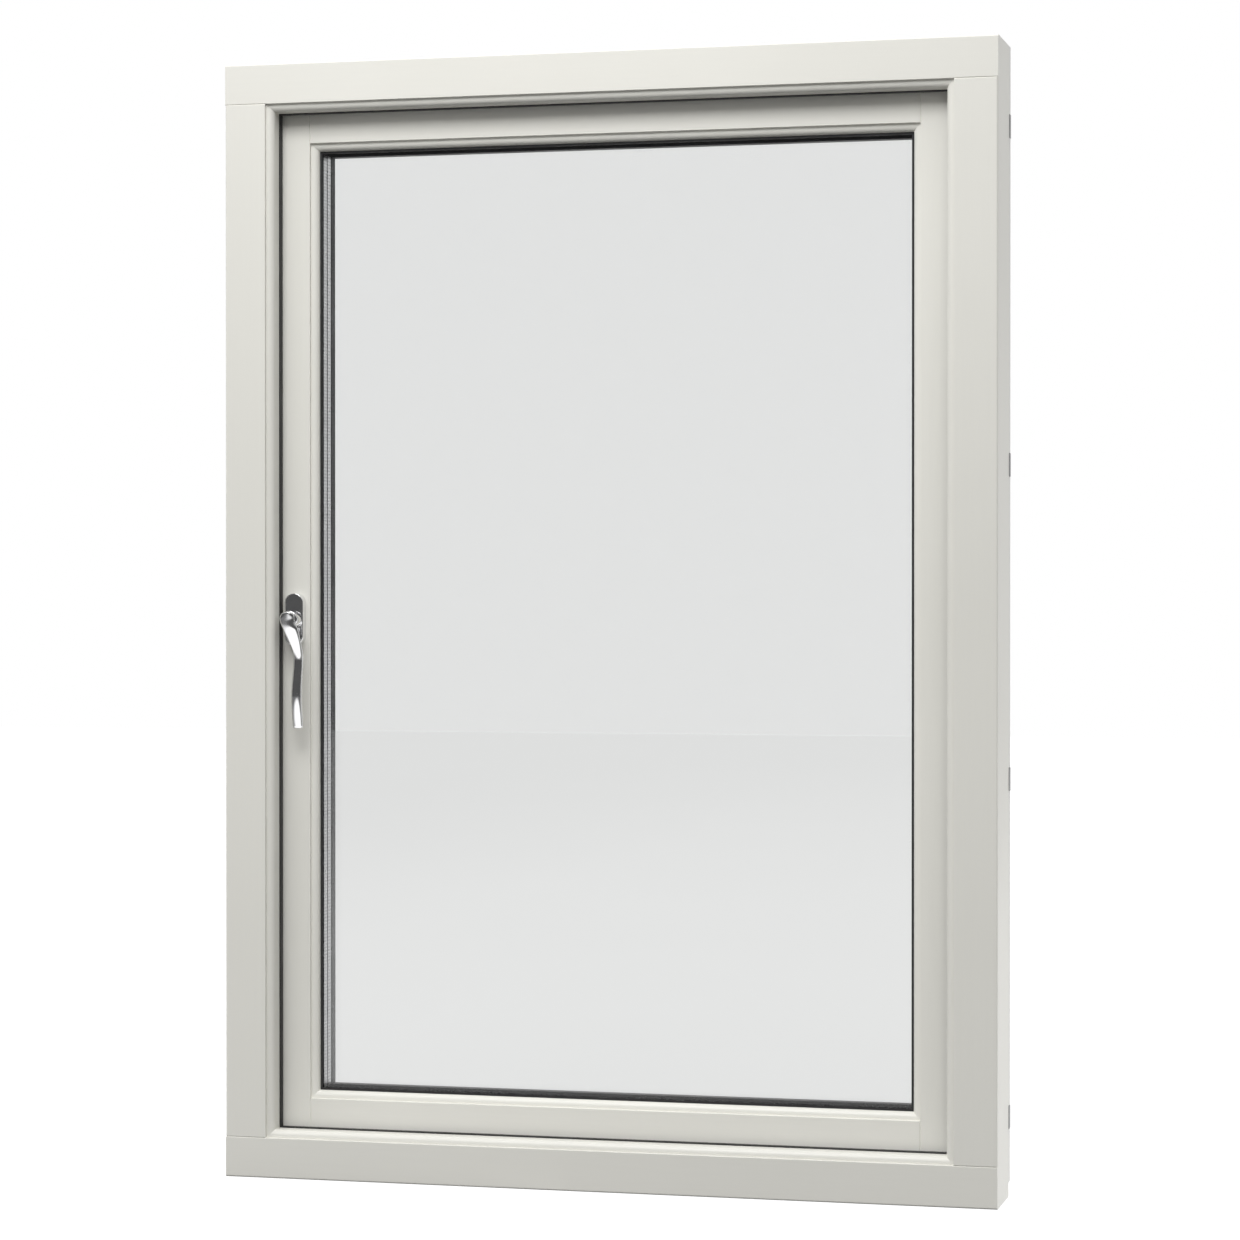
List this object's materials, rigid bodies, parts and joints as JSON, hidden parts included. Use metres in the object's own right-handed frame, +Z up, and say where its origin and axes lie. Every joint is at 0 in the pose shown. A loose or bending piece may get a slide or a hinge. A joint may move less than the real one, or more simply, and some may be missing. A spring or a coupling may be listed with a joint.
{
  "type": "casement window",
  "caption": "Side-hung casement window: white timber frame and outward-opening sash with triple glazing, a lever handle and white aluminium outer cladding.",
  "frame": {"origin": "middle of the sill's underside, halfway through the depth of the timber frame", "axes": "+X to the right seen from indoors, +Y outdoors, +Z up"},
  "size_m": [0.9716, 0.1122, 1.3908],
  "materials": {
    "painted_timber": "satin white paint on timber",
    "black_rubber": "matt black rubber",
    "powder_coated_aluminium": "white powder coat",
    "grey_plastic": "matt grey plastic",
    "clear_glass": "clear float glass",
    "spacer_aluminium": "mill finish",
    "edge_sealant": "matt black sealant",
    "beech_wood": "bare wood",
    "polished_chrome": "polished",
    "white_plastic": "low-friction plastic",
    "hardened_steel": "ground",
    "zinc_screw_steel": "zinc plated",
    "zinc_plated_steel": "zinc plated"
  },
  "bodies": {
    "frame": {"frame_head": "painted_timber", "frame_sill": "painted_timber", "frame_jamb_lock": "painted_timber", "frame_jamb_hinge": "painted_timber", "frame_gasket": "black_rubber", "frame_cladding_head": "powder_coated_aluminium", "frame_cladding_sill": "powder_coated_aluminium", "frame_cladding_lock": "powder_coated_aluminium", "frame_cladding_hinge": "powder_coated_aluminium", "frame_cladding_clips": "grey_plastic", "frame_corner_screws": "zinc_screw_steel", "fixing_sleeves": "grey_plastic", "hinge_frame_leaf_lower": "zinc_plated_steel", "hinge_frame_leaf_middle": "zinc_plated_steel", "hinge_frame_leaf_upper": "zinc_plated_steel", "hinge_pins": "zinc_plated_steel", "hinge_frame_screws": "zinc_screw_steel", "keeps": "zinc_plated_steel", "keep_screws": "zinc_screw_steel"},
    "sash": {"sash_stile_lock": "painted_timber", "sash_stile_hinge": "painted_timber", "sash_top_rail": "painted_timber", "sash_bottom_rail": "painted_timber", "sash_corner_dowels": "beech_wood", "glass_inner": "clear_glass", "glass_middle": "clear_glass", "glass_outer": "clear_glass", "spacer_inner": "spacer_aluminium", "spacer_outer": "spacer_aluminium", "edge_seal": "edge_sealant", "glazing_gasket_inner": "black_rubber", "glazing_gasket_outer": "black_rubber", "setting_blocks": "grey_plastic", "sash_cladding_lock": "powder_coated_aluminium", "sash_cladding_top": "powder_coated_aluminium", "sash_cladding_hinge": "powder_coated_aluminium", "sash_cladding_bottom": "powder_coated_aluminium", "sash_cladding_clips": "grey_plastic", "gearbox_case": "zinc_plated_steel", "gearbox_cover": "zinc_plated_steel", "faceplate": "zinc_plated_steel", "faceplate_screws": "zinc_screw_steel", "handle_base": "zinc_plated_steel", "handle_rosette": "polished_chrome", "handle_plate_screws": "zinc_screw_steel", "handle_bush": "white_plastic", "hinge_sash_leaf_lower": "zinc_plated_steel", "hinge_sash_leaf_middle": "zinc_plated_steel", "hinge_sash_leaf_upper": "zinc_plated_steel", "hinge_sash_screws": "zinc_screw_steel", "hinge_washers": "white_plastic"},
    "handle": {"handle_lever": "polished_chrome", "spindle": "zinc_plated_steel", "spindle_gear": "hardened_steel"},
    "lock_bar": {"drive_bar": "zinc_plated_steel", "drive_rack": "zinc_plated_steel", "locking_cams": "hardened_steel"}
  },
  "joints": [
    {"name": "sash_open", "type": "hinge", "parent": "frame", "child": "sash", "pos_m": [0.443, 0.0575, 0.695], "axis": [0, 0, -1], "range_deg": [0, 90]},
    {"name": "handle_turn", "type": "hinge", "parent": "sash", "child": "handle", "pos_m": [-0.404, -0.0095, 0.697], "axis": [0, -1, 0], "range_deg": [0, 90]},
    {"name": "bar_slide", "type": "slide", "parent": "sash", "child": "lock_bar", "axis": [0, 0, -1], "range_m": [0, 0.018]}
  ],
  "couplings": [
    {"joint": "bar_slide", "follows": "handle_turn", "m_per_rad": 0.011459}
  ]
}
